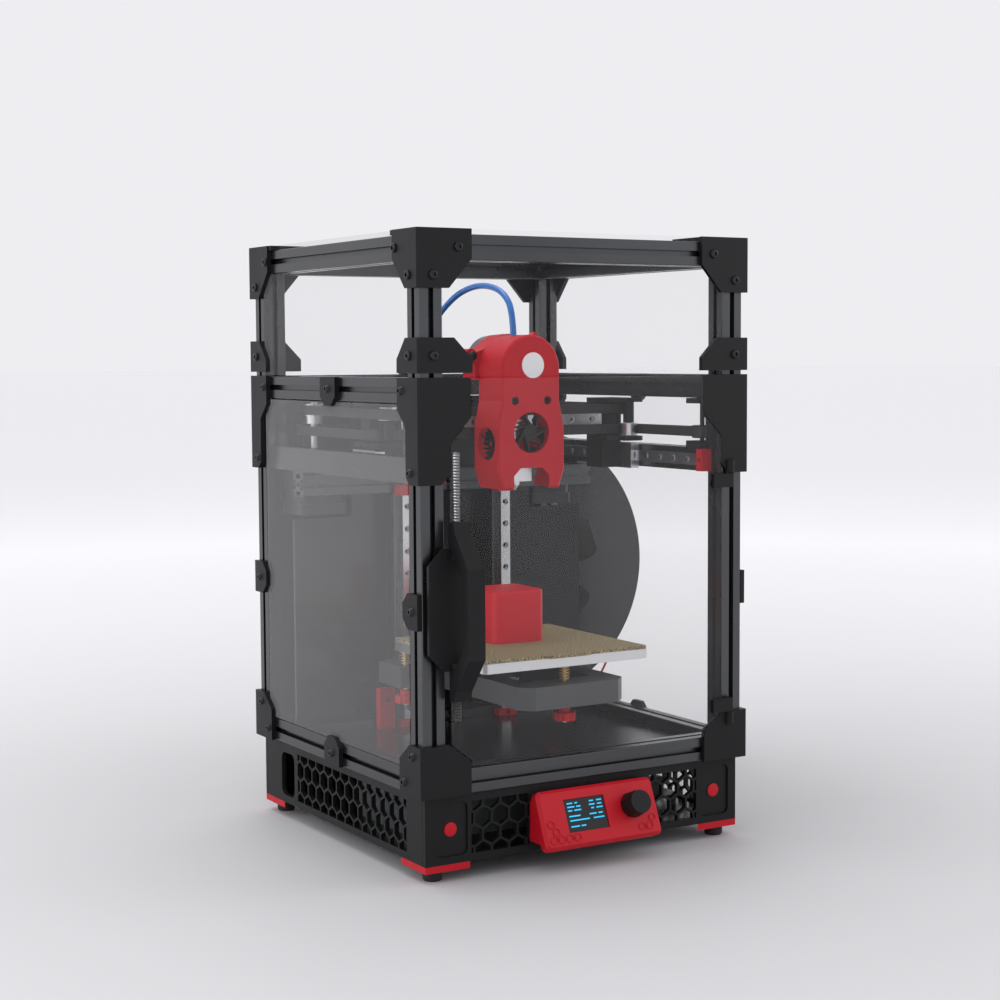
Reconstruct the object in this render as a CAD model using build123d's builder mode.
from build123d import *
import math
import os

os.makedirs("parts", exist_ok=True)

# Enclosed desktop filament printer with a lift-off top hat. Millimetres, +Z up, the front faces -Y.

# ---------------------------------------------------------------- driving sizes
FRAME = 230.0  # outside width and depth of the extrusion frame
BEAM = 15.0  # side of a square extrusion
BEAM_CORNER = 0.8
SLOT_MOUTH = 3.4
SLOT_LIP = 1.1
SLOT_ROOM = 2.2
SLOT_INNER = 6.0
CORE_BORE = 1.25

FOOT_H = 6.5  # rubber foot below its red plate
FOOT_R = 5.8
FOOT_INSET = 18.0
PLATE_T = 4.1  # red foot plate
SKIRT_H = 40.8
FRAME_H = 243.2
HAT_GAP = 2.6  # shadow gap between the frame's top and the hat's covers
HAT_H = 85.0  # frame's top to hat's top
WALL = 3.0  # covers, clips and panels
WALL_T = 2.5  # black sheets of the back wall and the rear cover
REAR_COVER_Y = 104.5
FILAMENT_SLOT = ((-7.0, 17.0), (128.0, 208.0))  # across and up, in the rear cover
FIT = 0.5  # gap round a panel in its opening
PRINT_GAP = 0.3  # gap between printed pieces that lie beside each other
JOIN = 0.02  # hairline between cut beams, so each stays its own piece

SKIRT_BACK = 2.0  # skirt faces sit this far behind the frame's faces
RAIL_W = 7.0
RAIL_T = 5.0
RAIL_PITCH = 15.0
CARRIAGE_W = 17.0
CARRIAGE_L = 31.0
CARRIAGE_H = 8.0

UPRIGHT_X = 38.0  # the two bed rails, left and right of the screw
UPRIGHT_Y = 58.5
Z_RAIL_L = 150.0
Y_RAIL_L = 160.0
RAIL_MID_Z = 240.5
SHIM = 1.5

BELT_W = 6.0
BELT_T = 1.4
IDLER_R = 4.95  # running radius of idlers and pulleys
BELT_R = 5.7  # centre line of the belt round an idler
FLANGE_R = 6.4
LOW_BELT_Z = 255.2
HIGH_BELT_Z = 268.8
BELT_X = 95.0  # inner run of each side
BELT_AHEAD = 17.5  # run across the gantry, ahead of the cross beam's middle
FRONT_IDLER_Y = -93.5
MOTOR_X = 88.0
MOTOR_Y = 83.0
REAR_IDLER_Y = 92.5
MOTOR_W = 33.4
MOTOR_H = 28.0

GANTRY_Y = -4.5  # middle of the cross beam at rest
XBEAM_Z = 265.0
JOINT_IN = 77.0
JOINT_OUT = 98.0
HEAD_X = -5.0  # toolhead centre at rest
HEAD_HALF = 24.5
NECK_HALF = 21.0  # the toolhead's narrower top
HEAD_D = 29.0
HEAD_Z = 224.0
SHOULDER_Z = 262.0  # the toolhead narrows above this
HEAD_TOP = 322.0
COWL_WALL = 2.0
NOZZLE_Z = 222.5
FAN_Z = 259.0
FAN_R = 12.8
BLOWER_Z = 252.0
BLOWER_R = 10.5
EXTRUDER_Z = 300.0
CLAMP = 13.0  # belt ends, either side of the toolhead's middle
FIL_BACK = 22.0  # filament path, behind the carriage's face
FIL_SIDE = -3.0  # and left of the toolhead's middle
TUBE_R = 2.0
STRAND_R = 0.875
PANCAKE_R = 18.0

SCREW_R = 3.0
SCREW_TOP = 242.4
BED_W = 120.0
BED_D = 118.0
BED_FRONT = -92.0
BED_TOP = 124.0
SHEET_T = 2.0
BED_T = 6.0
BED_FRAME_T = 14.0
BED_FRAME_TOP = 106.5
CUBE_W = 37.0
CUBE_H = 33.6

DOOR_T = 3.0
DOOR_GAP = 0.5
HINGE_X = 104.0
HINGE_W = 15.0  # hinge leaf across the pane
HINGE_H = 8.5
HINGE_GAP = 0.4  # between a leaf and its corner cover
HINGE_Y = -118.0
HINGE_R = 2.6
PIN_R = 1.2
RUN = 0.06  # radial clearance of a running fit
HANDLE_OUT = 22.0

DISPLAY_W = 84.0
DISPLAY_H = 36.0
DISPLAY_T = 7.0
DISPLAY_TILT = 23.0

SPOOL_R = 100.0
SPOOL_W = 62.0
SPOOL_T = 3.0
SPOOL_Z = 152.0
SPOOL_Y = 128.0
SPOOL_HUB_R = 66.0
SPOOL_BORE_R = 26.5
COIL_R = 88.0

M3_HEAD_R = 2.8
M3_HEAD_H = 1.6
M3_R = 1.45

# ---------------------------------------------------------------- derived heights and reaches
HALF = FRAME / 2
POST = HALF - BEAM / 2  # centre line of posts and beams
INNER = HALF - BEAM
FACE = HALF + WALL  # outside of the covers
SKIRT_Z = FOOT_H + PLATE_T
FRAME_Z = SKIRT_Z + SKIRT_H
LOW_BEAM_Z = FRAME_Z + BEAM / 2
TOP_Z = FRAME_Z + FRAME_H
HIGH_BEAM_Z = TOP_Z - BEAM / 2
HAT_TOP = TOP_Z + HAT_H
HAT_BEAM_Z = HAT_TOP - WALL - BEAM / 2
DECK_TOP = LOW_BEAM_Z + 1.1
SKIRT_FACE = HALF - SKIRT_BACK
CROSS_Z = RAIL_MID_Z - BEAM / 2 - SHIM - BEAM / 2
Z_RAIL_Z = CROSS_Z - BEAM / 2 - 1.5 - Z_RAIL_L
WALL_Y = UPRIGHT_Y + BEAM / 2
SCREW_Y = UPRIGHT_Y - BEAM / 2 - SCREW_R - 0.5
HANDLE_REACH = FACE + 1.0 + HANDLE_OUT
HANDLE_TOP = 212.0
HANDLE_LOW = 108.0
SPOOL_END = SPOOL_Y + SPOOL_W + 6.0

# The origin is on the floor under the middle of the whole printer with its spool,
# so the frame's own centre lies a little to the left of it and in front of it.
LEFT_REACH = FACE + M3_HEAD_H
RIGHT_REACH = POST + SPOOL_R
CX = (LEFT_REACH - RIGHT_REACH) / 2
CY = (HANDLE_REACH - SPOOL_END) / 2


def xy(z, x=0.0, y=0.0):
    """Level plane at height z, measured from the frame's centre."""
    return Plane(origin=(CX + x, CY + y, z))


def xz(y, x=0.0, z=0.0):
    """Upright plane that faces forward (-Y)."""
    return Plane(origin=(CX + x, CY + y, z), x_dir=(1, 0, 0), z_dir=(0, -1, 0))


def yz(x, y=0.0, z=0.0):
    """Upright plane that faces right (+X)."""
    return Plane(origin=(CX + x, CY + y, z), x_dir=(0, 1, 0), z_dir=(1, 0, 0))


def block(x0, x1, y0, y1, z0, z1, mode=Mode.ADD):
    """Box between two corners, inside the current part."""
    with BuildSketch(xy(z0, (x0 + x1) / 2, (y0 + y1) / 2)) as outline:
        Rectangle(x1 - x0, y1 - y0)
    extrude(outline.sketch, amount=z1 - z0, mode=mode)


def rod(plane, radius, length, mode=Mode.ADD):
    """Round bar or hole that starts on a plane."""
    with BuildSketch(plane) as outline:
        Circle(radius)
    extrude(outline.sketch, amount=length, mode=mode)


def prism(plane, points, length, mode=Mode.ADD):
    """Straight-sided outline pulled out of a plane."""
    with BuildSketch(plane) as outline:
        with BuildLine():
            Polyline(*points, close=True)
        make_face()
    extrude(outline.sketch, amount=length, mode=mode)


def keep(builder, name):
    """Label a finished piece and write it."""
    builder.part.label = name
    export_step(builder.part, "parts/" + name + ".step")


# ---------------------------------------------------------------- extrusion frame
def slotted_section():
    """Square extrusion with a T slot on each side and a bored core."""
    RectangleRounded(BEAM, BEAM, BEAM_CORNER)
    with PolarLocations(BEAM / 2 - SLOT_LIP / 2, 4):
        Rectangle(SLOT_LIP, SLOT_MOUTH, mode=Mode.SUBTRACT)
    with PolarLocations(BEAM / 2 - SLOT_LIP - SLOT_ROOM / 2, 4):
        Rectangle(SLOT_ROOM, SLOT_INNER, mode=Mode.SUBTRACT)
    Circle(CORE_BORE, mode=Mode.SUBTRACT)


def beam(plane, length):
    """One cut length of extrusion."""
    with BuildSketch(plane) as outline:
        slotted_section()
    extrude(outline.sketch, amount=length)


def beam_along_x(y, z, half):
    beam(yz(-half + JOIN, y, z), 2 * (half - JOIN))


def beam_along_y(x, z, half):
    beam(xz(half - JOIN, x, z), 2 * (half - JOIN))


with BuildPart() as extrusion_frame:
    for sx in (-1, 1):
        for sy in (-1, 1):
            beam(xy(FRAME_Z, sx * POST, sy * POST), FRAME_H)
        beam_along_y(sx * POST, LOW_BEAM_Z, INNER)
        beam_along_y(sx * POST, HIGH_BEAM_Z, INNER)
        beam_along_y(sx * POST, RAIL_MID_Z, INNER)
        upright_h = CROSS_Z - LOW_BEAM_Z - BEAM
        beam(xy(LOW_BEAM_Z + BEAM / 2 + JOIN, sx * UPRIGHT_X, UPRIGHT_Y), upright_h - 2 * JOIN)
        # packing between the upper cross beam's ends and the rail beams
        pack_z = CROSS_Z + BEAM / 2
        x0, x1 = sorted((sx * INNER, sx * (HALF - WALL - FIT)))
        block(x0, x1, UPRIGHT_Y - BEAM / 2, UPRIGHT_Y + BEAM / 2, pack_z + JOIN, pack_z + SHIM - JOIN)
        # the rail beams' outer faces are milled back to clear the side panels
        x0, x1 = sorted((sx * (HALF - WALL - FIT), sx * (HALF + 1)))
        block(x0, x1, -INNER, INNER, RAIL_MID_Z - BEAM / 2, RAIL_MID_Z + BEAM / 2, mode=Mode.SUBTRACT)
    beam_along_x(-POST, LOW_BEAM_Z, INNER)
    beam_along_x(POST, LOW_BEAM_Z, INNER)
    beam_along_x(POST, HIGH_BEAM_Z, INNER)
    beam_along_x(UPRIGHT_Y, LOW_BEAM_Z, INNER)
    beam_along_x(UPRIGHT_Y, CROSS_Z, INNER + BEAM - WALL - FIT)
keep(extrusion_frame, "extrusion_frame")


# ---------------------------------------------------------------- panels
with BuildPart() as base_panels:
    deck = INNER - FIT
    deck_back = UPRIGHT_Y - BEAM / 2 - FIT
    block(-deck, deck, -deck, deck_back, DECK_TOP - WALL, DECK_TOP)
    rod(xy(DECK_TOP - WALL - 1, 0, SCREW_Y), SCREW_R + 3, WALL + 2, mode=Mode.SUBTRACT)
    tray = SKIRT_FACE - WALL - FIT
    block(-tray, tray, -tray, tray, SKIRT_Z, SKIRT_Z + WALL)
keep(base_panels, "base_panels")

with BuildPart() as back_wall:
    half_wall = HALF - WALL - 2 * FIT
    block(-half_wall, half_wall, WALL_Y + 0.1, WALL_Y + 0.1 + WALL_T,
          LOW_BEAM_Z + BEAM / 2, HIGH_BEAM_Z - BEAM / 2)
    for sx in (-1, 1):
        # corners left open for the motors, the belts and the beams
        notch_in = MOTOR_X - MOTOR_W / 2 - 2
        x0, x1 = sorted((sx * notch_in, sx * HALF))
        block(x0, x1, WALL_Y - 1, WALL_Y + 5, RAIL_MID_Z - BEAM / 2 - MOTOR_H - 4, TOP_Z, mode=Mode.SUBTRACT)
    # rear cover between the posts, slotted where the filament leaves for the spool
    cover_half = INNER - FIT
    block(-cover_half, cover_half, REAR_COVER_Y, REAR_COVER_Y + WALL_T, LOW_BEAM_Z + BEAM / 2 + FIT,
          HIGH_BEAM_Z - BEAM / 2 - FIT)
    (slot_x0, slot_x1), (slot_z0, slot_z1) = FILAMENT_SLOT
    block(slot_x0, slot_x1, REAR_COVER_Y - 1, REAR_COVER_Y + WALL_T + 1, slot_z0, slot_z1,
          mode=Mode.SUBTRACT)
keep(back_wall, "back_wall")

with BuildPart() as side_panels:
    for sx in (-1, 1):
        x0, x1 = sorted((sx * (HALF - WALL), sx * HALF))
        reach = INNER - FIT
        block(x0, x1, -reach, reach, LOW_BEAM_Z + BEAM / 2 + FIT, HIGH_BEAM_Z - BEAM / 2 - FIT)
keep(side_panels, "side_panels")


# ---------------------------------------------------------------- corner covers and their screws
BEAM_SCREW = 21.0  # screw in a beam, measured from the cover's outer corner
POST_SCREW = FACE - POST
COVER_DROP = 61.4  # height of the upper covers
COVER_RISE = 30.5  # height of the lower covers
UPPER_SIDE_SCREWS = [(BEAM_SCREW, HIGH_BEAM_Z), (POST_SCREW, TOP_Z - 54.6)]
LOWER_SIDE_SCREWS = [(BEAM_SCREW, LOW_BEAM_Z), (POST_SCREW, LOW_BEAM_Z + 16.5)]
HAT_TOP_SCREWS = [(BEAM_SCREW + 6, HAT_BEAM_Z), (POST_SCREW, HAT_BEAM_Z - 16.0)]
HAT_LOW_SCREWS = [(POST_SCREW, TOP_Z + HAT_GAP + 10.0)]


def side_plane(sx, sy, distance, height, depth=0.0):
    """Plane on a left or right cover face, looking out of it."""
    normal = (sx, 0, 0)
    origin = (CX + sx * (FACE - depth), CY + sy * (FACE - distance), height)
    return Plane(origin=origin, x_dir=(0, sx, 0), z_dir=normal)


def corner_cover(sx, sy, end_outline, side_outline):
    """Two plates round one corner. Outlines are (distance from the outer corner, height)."""
    end = [(sx * (FACE - d), z) for d, z in end_outline]
    prism(xz(sy * HALF if sy < 0 else FACE), end, WALL)
    side = [(sy * (FACE - d), z) for d, z in side_outline]
    prism(yz(-FACE if sx < 0 else HALF), side, WALL)


def break_corner(builder):
    """Ease the upright outer edge of every cover."""
    upright = builder.edges().filter_by(Axis.Z)
    outer = [e for e in upright
             if abs(abs(e.center().X - CX) - FACE) < 0.01 and abs(abs(e.center().Y - CY) - FACE) < 0.01]
    chamfer(outer, 0.8)


def screw_holes(spots, plane_of, sx, sy):
    for distance, height in spots:
        rod(plane_of(sx, sy, distance, height, -1), M3_R + 0.15, -(WALL + 2), mode=Mode.SUBTRACT)


def button_screw(plane):
    """Domed screw with a hex socket; its shank runs into the slot behind."""
    with BuildSketch(plane) as outline:
        Circle(M3_HEAD_R)
    extrude(outline.sketch, amount=M3_HEAD_H, taper=28)
    with BuildSketch(plane.offset(M3_HEAD_H)) as outline:
        RegularPolygon(1.15, 6)
    extrude(outline.sketch, amount=-1.0, mode=Mode.SUBTRACT)
    with BuildSketch(plane) as outline:
        Circle(M3_R)
    extrude(outline.sketch, amount=-(WALL + 1.0))


def upper_end(wide):
    return [(0, TOP_Z), (wide, TOP_Z), (wide, TOP_Z - 23.5), (21, TOP_Z - 37.5), (21, TOP_Z - 55),
            (15, TOP_Z - COVER_DROP), (0, TOP_Z - COVER_DROP)]


UPPER_SIDE = [(0, TOP_Z), (25.5, TOP_Z), (25.5, TOP_Z - 18.5), (15.5, TOP_Z - 28.5), (15.5, TOP_Z - 57),
              (11, TOP_Z - COVER_DROP), (0, TOP_Z - COVER_DROP)]
LOWER_END = [(0, FRAME_Z), (33.5, FRAME_Z), (33.5, FRAME_Z + 20), (19.5, FRAME_Z + COVER_RISE),
             (0, FRAME_Z + COVER_RISE)]
LOWER_SIDE = [(0, FRAME_Z), (26.5, FRAME_Z), (26.5, FRAME_Z + 21), (14.5, FRAME_Z + COVER_RISE),
              (0, FRAME_Z + COVER_RISE)]

with BuildPart() as corner_covers:
    for sx in (-1, 1):
        for sy in (-1, 1):
            corner_cover(sx, sy, upper_end(34.5 if sy < 0 else 21.5), UPPER_SIDE)
            corner_cover(sx, sy, LOWER_END, LOWER_SIDE)
    break_corner(corner_covers)
    for sx in (-1, 1):
        for sy in (-1, 1):
            screw_holes(UPPER_SIDE_SCREWS + LOWER_SIDE_SCREWS, side_plane, sx, sy)
    # bosses with sockets for the door's pins
    for z, way in ((TOP_Z - COVER_DROP, 1), (FRAME_Z + COVER_RISE, -1)):
        rod(xy(z, HINGE_X, HINGE_Y), HINGE_R + 0.35, way * 8)
        rod(xy(z - way, HINGE_X, HINGE_Y), PIN_R + RUN, way * 7.5, mode=Mode.SUBTRACT)
keep(corner_covers, "corner_covers")

CLIP_W = 21.0


def clip_outline(reach):
    """Rounded tab that overlaps a beam or a post and the panel beside it."""
    half = CLIP_W / 2
    return [(-half, 0), (half, 0), (half, reach - 6), (half - 6, reach), (6 - half, reach), (-half, reach - 6)]


CLIP_REACH = BEAM / 2 + 10.5


with BuildPart() as panel_clips:
    for sx in (-1, 1):
        for z, way in ((HIGH_BEAM_Z + BEAM / 2, -1), (LOW_BEAM_Z - BEAM / 2, 1)):
            outline = [(a, way * b + z) for a, b in clip_outline(CLIP_REACH)]
            prism(yz(-FACE if sx < 0 else HALF), outline, WALL)
            rod(side_plane(sx, -1, FACE, z + way * BEAM / 2, -1), M3_R + 0.15, -(WALL + 2), mode=Mode.SUBTRACT)
        for sy in (-1, 1):
            outline = [(sy * (HALF - b), a + 160.0) for a, b in clip_outline(CLIP_REACH)]
            prism(yz(-FACE if sx < 0 else HALF), outline, WALL)
            rod(side_plane(sx, sy, POST_SCREW, 160.0, -1), M3_R + 0.15, -(WALL + 2), mode=Mode.SUBTRACT)
keep(panel_clips, "panel_clips")

with BuildPart() as cover_screws:
    for sx in (-1, 1):
        for sy in (-1, 1):
            for distance, height in UPPER_SIDE_SCREWS + LOWER_SIDE_SCREWS:
                button_screw(side_plane(sx, sy, distance, height))
            button_screw(side_plane(sx, sy, POST_SCREW, 160.0))
        for z in (HIGH_BEAM_Z, LOW_BEAM_Z):
            button_screw(side_plane(sx, -1, FACE, z))
keep(cover_screws, "cover_screws")


# ---------------------------------------------------------------- base
HEX_PITCH = 12.0
HEX_RIB = 1.5


def honeycomb(plane, x0, x1, z0, z1, depth):
    """Hexagonal grille cut inside a window, its ribs left standing."""
    row_step = HEX_PITCH * math.sqrt(3) / 2
    rows = math.ceil((z1 - z0) / row_step / 2) + 1
    columns = math.ceil((x1 - x0) / HEX_PITCH / 2) + 1
    spots = [((x0 + x1) / 2 + (i + 0.5 * (j % 2)) * HEX_PITCH, (z0 + z1) / 2 + (j + 0.5) * row_step)
             for i in range(-columns, columns + 1) for j in range(-rows, rows + 1)]
    with BuildSketch(plane) as outline:
        with Locations(*spots):
            RegularPolygon((HEX_PITCH - HEX_RIB) / 2, 6, major_radius=False, rotation=30)
        with Locations(((x0 + x1) / 2, (z0 + z1) / 2)):
            Rectangle(x1 - x0, z1 - z0, mode=Mode.INTERSECT)
    extrude(outline.sketch, amount=depth, both=True, mode=Mode.SUBTRACT)


with BuildPart() as base_skirts:
    edge = SKIRT_FACE
    side_end = edge - WALL - PRINT_GAP
    for sx in (-1, 1):
        # front halves, either side of the display
        x0, x1 = sorted((sx * PRINT_GAP / 2, sx * edge))
        block(x0, x1, -edge, -edge + WALL, SKIRT_Z, FRAME_Z - PRINT_GAP)
        a0, a1 = sorted((sx * 42, sx * 82))
        honeycomb(xz(-edge), a0, a1, SKIRT_Z + 4.5, FRAME_Z - 5, WALL + 2)
        b0, b1 = sorted((sx * 84.5, sx * 107))
        with BuildSketch(xz(-edge, (b0 + b1) / 2, (SKIRT_Z + FRAME_Z) / 2)):
            RectangleRounded(b1 - b0, SKIRT_H - 9, 4)
        extrude(amount=-1.2, mode=Mode.SUBTRACT)
        # sides
        c0, c1 = sorted((sx * (edge - WALL), sx * edge))
        block(c0, c1, -side_end, side_end, SKIRT_Z, FRAME_Z - PRINT_GAP)
        honeycomb(yz(sx * (edge - WALL / 2)), -90, 62, SKIRT_Z + 4.5, FRAME_Z - 5, WALL)
        with BuildSketch(yz(sx * (edge - WALL / 2), 77, (SKIRT_Z + FRAME_Z) / 2 - 1)):
            RectangleRounded(20, SKIRT_H - 12, 5)
        extrude(amount=WALL, both=True, mode=Mode.SUBTRACT)
    # rear, with windows for the power inlet and for air
    block(-edge, edge, edge - WALL, edge, SKIRT_Z, FRAME_Z - PRINT_GAP)
    honeycomb(xz(edge), -20, 92, SKIRT_Z + 4.5, FRAME_Z - 5, WALL + 2)
    with BuildSketch(xz(edge + 1, -70, (SKIRT_Z + FRAME_Z) / 2)):
        Rectangle(49, 28)
    extrude(amount=WALL + 2, mode=Mode.SUBTRACT)
keep(base_skirts, "base_skirts")

with BuildPart() as foot_plates:
    for sx in (-1, 1):
        for sy in (-1, 1):
            x, y = sx * SKIRT_FACE, sy * SKIRT_FACE
            arm = 30.0
            with BuildSketch(xy(FOOT_H)):
                with BuildLine():
                    Line((x, y), (x - sx * arm, y))
                    RadiusArc((x - sx * arm, y), (x, y - sy * arm), (1 if sx * sy > 0 else -1) * 48)
                    Line((x, y - sy * arm), (x, y))
                make_face()
            extrude(amount=PLATE_T)
keep(foot_plates, "foot_plates")

with BuildPart() as rubber_feet:
    for sx in (-1, 1):
        for sy in (-1, 1):
            reach = SKIRT_FACE - FOOT_INSET / 2 - 1
            rod(xy(0, sx * reach, sy * reach), FOOT_R, FOOT_H)
    chamfer(rubber_feet.edges().group_by(Axis.Z)[0], 0.8)
keep(rubber_feet, "rubber_feet")

with BuildPart() as bay_electronics:
    floor = SKIRT_Z + WALL
    # power supply can and its terminal strip
    block(-92, 8, -70, 14, floor, floor + 27)
    block(10, 20, -60, 4, floor, floor + 16)
    # controller board on its spacers
    block(28, 98, -75, 15, floor + 6, floor + 7.6)
    for x in (32, 94):
        for y in (-71, 11):
            rod(xy(floor, x, y), 2.5, 6)
    block(40, 56, -60, -44, floor + 7.6, floor + 11)
    block(64, 90, -66, -60, floor + 7.6, floor + 18)
    block(34, 46, -20, 8, floor + 7.6, floor + 17)
    for x in (56, 68, 80):
        rod(xy(floor + 7.6, x, -10), 4, 12)
keep(bay_electronics, "bay_electronics")

with BuildPart() as power_inlet:
    mid = (SKIRT_Z + FRAME_Z) / 2
    block(-94, -46, SKIRT_FACE - 24, SKIRT_FACE, mid - 13.5, mid + 13.5)
    block(-98, -42, SKIRT_FACE, SKIRT_FACE + 2, mid - 17, mid + 17)
    with BuildSketch(xz(SKIRT_FACE + 2, -80, mid)):
        Rectangle(25, 18)
    extrude(amount=16, mode=Mode.SUBTRACT)
    with BuildSketch(xz(SKIRT_FACE + 2, -56, mid)):
        Rectangle(14, 21)
    extrude(amount=8, mode=Mode.SUBTRACT)
    for x, dz in ((-87, -3), (-73, -3), (-80, 3)):
        block(x - 1.2, x + 1.2, SKIRT_FACE - 15, SKIRT_FACE - 4, mid + dz - 2.2, mid + dz + 2.2)
keep(power_inlet, "power_inlet")

with BuildPart() as power_switch:
    mid = (SKIRT_Z + FRAME_Z) / 2
    with BuildSketch(yz(-56 - 6.6, SKIRT_FACE, mid)):
        with BuildLine():
            Polyline((-1.0, 9.6), (1.2, 9.6), (2.6, 0), (4.4, -9.6), (-1.0, -9.6), close=True)
        make_face()
    extrude(amount=13.2)
    # round pivot the rocker turns on
    rod(yz(-56 - 6.9, SKIRT_FACE + 0.4, mid), 1.0, 13.8)
keep(power_switch, "power_switch")


# ---------------------------------------------------------------- display and knob
MID_BASE = (SKIRT_Z + FRAME_Z) / 2
TILT = math.radians(DISPLAY_TILT)
DISPLAY_Y = -SKIRT_FACE - 0.6 - DISPLAY_T * math.cos(TILT) - DISPLAY_H / 2 * math.sin(TILT)
KNOB_AT = (23.0, 2.0)
KNOB_R = 8.0
KNOB_L = 11.0
SCREEN_AT = (-10.0, 1.0)
SCREEN_W = 29.0
SCREEN_H = 20.0


def display_plane(out=0.0, x=0.0, up=0.0):
    """Plane on the tilted front of the display, looking out of it."""
    normal = (0, -math.cos(TILT), math.sin(TILT))
    y = DISPLAY_Y - out * math.cos(TILT) + up * math.sin(TILT)
    z = MID_BASE + 0.5 + out * math.sin(TILT) + up * math.cos(TILT)
    return Plane(origin=(CX + x, CY + y, z), x_dir=(1, 0, 0), z_dir=normal)


with BuildPart() as display_case:
    with BuildSketch(display_plane(-DISPLAY_T)):
        RectangleRounded(DISPLAY_W, DISPLAY_H, 4.0)
    extrude(amount=DISPLAY_T)
    face_edges = display_case.faces().sort_by(Axis(display_plane().origin, display_plane().z_dir))[-1].edges()
    chamfer(face_edges, 2.0)
    with BuildSketch(display_plane(0, *SCREEN_AT)):
        Rectangle(SCREEN_W, SCREEN_H)
    extrude(amount=-2.2, mode=Mode.SUBTRACT)
    with BuildSketch(display_plane(-DISPLAY_T)):
        Rectangle(DISPLAY_W - 6, DISPLAY_H - 6)
    extrude(amount=DISPLAY_T - 4.0, mode=Mode.SUBTRACT)
    rod(display_plane(1, *KNOB_AT), 3.4, -(DISPLAY_T + 2), mode=Mode.SUBTRACT)
    # wedges that carry it on the front skirt
    bite = DISPLAY_T - 0.8
    wedge_y = DISPLAY_Y + bite * math.cos(TILT)
    wedge_z = MID_BASE + 0.5 - bite * math.sin(TILT)
    lean, rise = 13 * math.sin(TILT), 13 * math.cos(TILT)
    front = -SKIRT_FACE - JOIN
    wedge = [(front, wedge_z + rise), (wedge_y + lean, wedge_z + rise),
             (wedge_y - lean, wedge_z - rise), (front, wedge_z - rise)]
    for x in (-DISPLAY_W / 2 + 0.4, DISPLAY_W / 2 - 2.7):
        prism(yz(x), wedge, 2.3)
keep(display_case, "display_case")

with BuildPart() as display_screen:
    with BuildSketch(display_plane(-2.1, *SCREEN_AT)):
        Rectangle(SCREEN_W - 0.4, SCREEN_H - 0.4)
    extrude(amount=1.3)
keep(display_screen, "display_screen")

with BuildPart() as encoder_knob:
    with BuildSketch(display_plane(0.4, *KNOB_AT)):
        RegularPolygon(KNOB_R, 9)
    extrude(amount=KNOB_L)
    with BuildSketch(display_plane(0.4, *KNOB_AT)):
        Circle(KNOB_R * 1.05)
    extrude(amount=KNOB_L, taper=7, mode=Mode.INTERSECT)
    rod(display_plane(0.4, *KNOB_AT), 3.0, -4.5)
keep(encoder_knob, "encoder_knob")

# ---------------------------------------------------------------- rails, motors and the bed's screw
def rail(length, holes):
    """Profiled rail lying on the current plane's origin, built along local Y."""
    RectangleRounded(RAIL_W, length, 0.3)
    with GridLocations(0, RAIL_PITCH, 1, holes):
        Circle(1.3, mode=Mode.SUBTRACT)


def rail_on(plane, length, mode=Mode.ADD):
    """Rail standing on a plane, long along the plane's Y, with counterbored holes."""
    holes = int(length // RAIL_PITCH)
    with BuildSketch(plane) as outline:
        rail(length, holes)
    extrude(outline.sketch, amount=RAIL_T, mode=mode)
    with BuildSketch(plane.offset(RAIL_T)) as outline:
        with GridLocations(0, RAIL_PITCH, 1, holes):
            Circle(2.1)
    extrude(outline.sketch, amount=-2.3, mode=Mode.SUBTRACT)


def sideways(plane):
    """The same plane with its Y axis laid along its old X axis."""
    return Plane(origin=plane.origin, x_dir=-plane.y_dir, z_dir=plane.z_dir)


Y_RAIL_Y = WALL_Y - 4.0 - Y_RAIL_L / 2

with BuildPart() as linear_rails:
    for sx in (-1, 1):
        rail_on(xz(UPRIGHT_Y - BEAM / 2, sx * UPRIGHT_X, Z_RAIL_Z + Z_RAIL_L / 2), Z_RAIL_L)
        inward = Plane(origin=(CX + sx * INNER, CY + Y_RAIL_Y, RAIL_MID_Z), x_dir=(0, 0, sx), z_dir=(-sx, 0, 0))
        rail_on(inward, Y_RAIL_L)
keep(linear_rails, "linear_rails")

CAP_T = 6.0
with BuildPart() as rail_caps:
    rail_front = UPRIGHT_Y - BEAM / 2 - RAIL_T - 2
    for sx in (-1, 1):
        x = sx * UPRIGHT_X
        block(x - 7, x + 7, rail_front, UPRIGHT_Y - BEAM / 2, Z_RAIL_Z + Z_RAIL_L + JOIN, Z_RAIL_Z + Z_RAIL_L + 7)
        block(x - 7, x + 7, rail_front, UPRIGHT_Y - BEAM / 2, DECK_TOP + JOIN, Z_RAIL_Z - JOIN)
        rod(xz(rail_front, x, (DECK_TOP + Z_RAIL_Z) / 2), 1.6, -3, mode=Mode.SUBTRACT)
        a, b = sorted((sx * INNER, sx * (INNER - RAIL_T - 2.5)))
        cap_y = Y_RAIL_Y - Y_RAIL_L / 2
        block(a, b, cap_y - CAP_T, cap_y - JOIN, RAIL_MID_Z - 7, RAIL_MID_Z + 7)
        rod(yz(sx * (INNER - RAIL_T - 3), cap_y - CAP_T / 2, RAIL_MID_Z), 1.5, sx * 3, mode=Mode.SUBTRACT)
    # end stop bracket at the foot of the left rail
    block(-60, -49, UPRIGHT_Y - BEAM / 2 - 6, UPRIGHT_Y - BEAM / 2, DECK_TOP + JOIN, DECK_TOP + 27)
    rod(xz(UPRIGHT_Y - BEAM / 2 - 6, -54.5, DECK_TOP + 19), 1.6, -7, mode=Mode.SUBTRACT)
keep(rail_caps, "rail_caps")


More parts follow.
